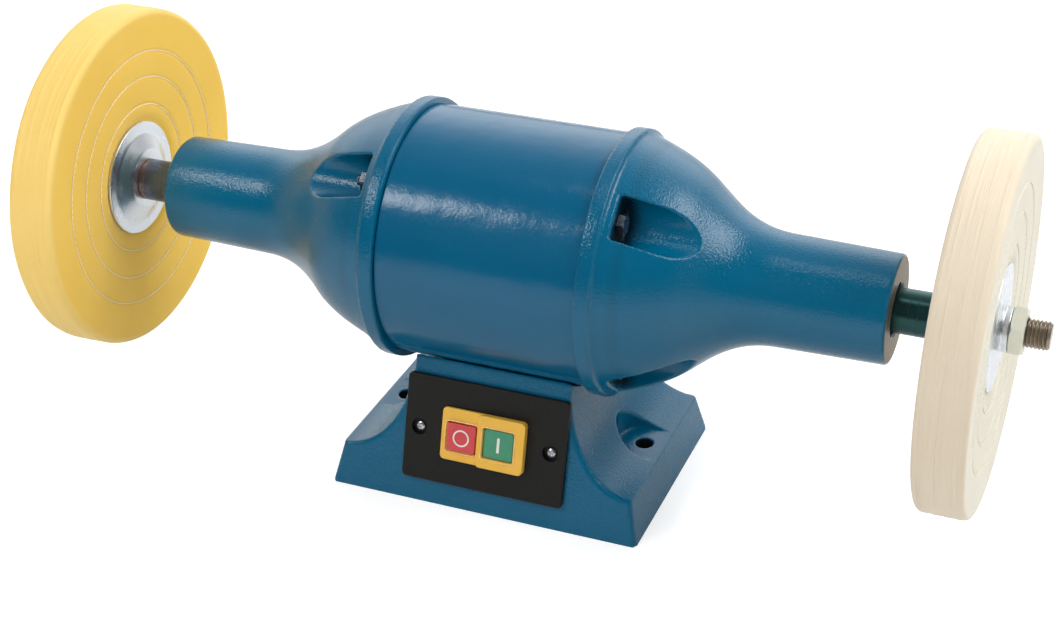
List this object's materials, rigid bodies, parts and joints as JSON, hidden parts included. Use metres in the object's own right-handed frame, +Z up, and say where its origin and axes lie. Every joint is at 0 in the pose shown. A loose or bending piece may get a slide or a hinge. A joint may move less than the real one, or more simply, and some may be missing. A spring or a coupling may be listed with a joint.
{
  "type": "bench polishing machine",
  "caption": "Double-ended bench polisher: motor between two long-arm end bells, a cotton buff on each spindle end, and a hollow cast base with a push-button switch.",
  "frame": {"origin": "middle of the base's underside, midway between the two buffs and under the spindle's axis", "axes": "+Z up, +X along the spindle towards the white buff, -Y out of the switch side"},
  "size_m": [0.577, 0.2, 0.238],
  "materials": {
    "blue_paint": "petrol-blue gloss enamel, smooth on the tube, cast texture under it on the bells and base",
    "black_paint": "semi-matt black paint on sheet steel",
    "steel": "bright ground steel",
    "dark_steel": "turned steel, dark and lightly oiled",
    "zinc": "bright blue-white zinc plating",
    "laminations": "stacked electrical sheet",
    "copper": "varnished copper wire",
    "aluminium": "die-cast aluminium",
    "black_plastic": "matt black moulded plastic",
    "yellow_plastic": "satin yellow moulded plastic",
    "red_plastic": "red button under a clear membrane",
    "green_plastic": "green button under a clear membrane",
    "white_plastic": "off-white moulded plastic",
    "black_sheath": "black insulated leads",
    "yellow_cotton": "treated yellow cotton, stitched in rings",
    "white_cotton": "soft ivory cotton, stitched in rings"
  },
  "bodies": {
    "machine": {"base_casting": "blue_paint", "base_cover": "black_paint", "cover_screw_1": "zinc", "cover_screw_2": "zinc", "cover_screw_3": "zinc", "cover_screw_4": "zinc", "motor_housing": "blue_paint", "end_bell_left": "blue_paint", "end_bell_right": "blue_paint", "tie_bolt_1": "steel", "tie_bolt_2": "steel", "tie_bolt_3": "steel", "tie_bolt_4": "steel", "tie_nut_1": "steel", "tie_nut_2": "steel", "tie_nut_3": "steel", "tie_nut_4": "steel", "saddle_bolt_1": "steel", "saddle_bolt_2": "steel", "stator_core": "laminations", "winding_left": "copper", "winding_right": "copper", "bearing_outer_left": "steel", "bearing_outer_right": "steel", "wave_washer": "steel", "switch_plate": "black_plastic", "plate_screw_left": "zinc", "plate_screw_right": "zinc", "switch_frame": "yellow_plastic", "switch_body": "black_plastic", "capacitor": "white_plastic", "capacitor_clamp": "zinc", "clamp_screw_1": "zinc", "clamp_screw_2": "zinc", "terminal_block": "white_plastic", "motor_leads": "black_sheath", "switch_leads": "black_sheath", "cable_gland": "black_plastic", "gland_locknut": "black_plastic"},
    "spindle": {"spindle_shaft": "dark_steel", "rotor_core": "laminations", "rotor_end_ring_left": "aluminium", "rotor_end_ring_right": "aluminium", "bearing_inner_left": "steel", "bearing_inner_right": "steel", "inner_flange_left": "zinc", "inner_flange_right": "zinc", "outer_flange_left": "zinc", "outer_flange_right": "zinc", "wheel_nut_left": "zinc", "wheel_nut_right": "zinc", "buff_yellow": "yellow_cotton", "buff_white": "white_cotton"},
    "bearing_cage_left": {"ball_cage_left": "steel"},
    "bearing_cage_right": {"ball_cage_right": "steel"},
    "off_button": {"off_button": "red_plastic"},
    "on_button": {"on_button": "green_plastic"}
  },
  "joints": [
    {"name": "spindle_spin", "type": "hinge", "parent": "machine", "child": "spindle", "pos_m": [0, 0, 0.138], "axis": [1, 0, 0], "continuous": true},
    {"name": "cage_spin_left", "type": "hinge", "parent": "machine", "child": "bearing_cage_left", "pos_m": [-0.1972, 0, 0.138], "axis": [1, 0, 0], "continuous": true},
    {"name": "cage_spin_right", "type": "hinge", "parent": "machine", "child": "bearing_cage_right", "pos_m": [0.1972, 0, 0.138], "axis": [1, 0, 0], "continuous": true},
    {"name": "off_press", "type": "slide", "parent": "machine", "child": "off_button", "axis": [0, 0.9659, -0.2588], "range_m": [0, 0.003], "stiffness_N_per_m": 600, "springref_m": -0.002},
    {"name": "on_press", "type": "slide", "parent": "machine", "child": "on_button", "axis": [0, 0.9659, -0.2588], "range_m": [0, 0.003], "stiffness_N_per_m": 600, "springref_m": -0.002}
  ],
  "couplings": [
    {"joint": "cage_spin_left", "follows": "spindle_spin", "ratio": 0.4174},
    {"joint": "cage_spin_right", "follows": "spindle_spin", "ratio": 0.4174}
  ]
}
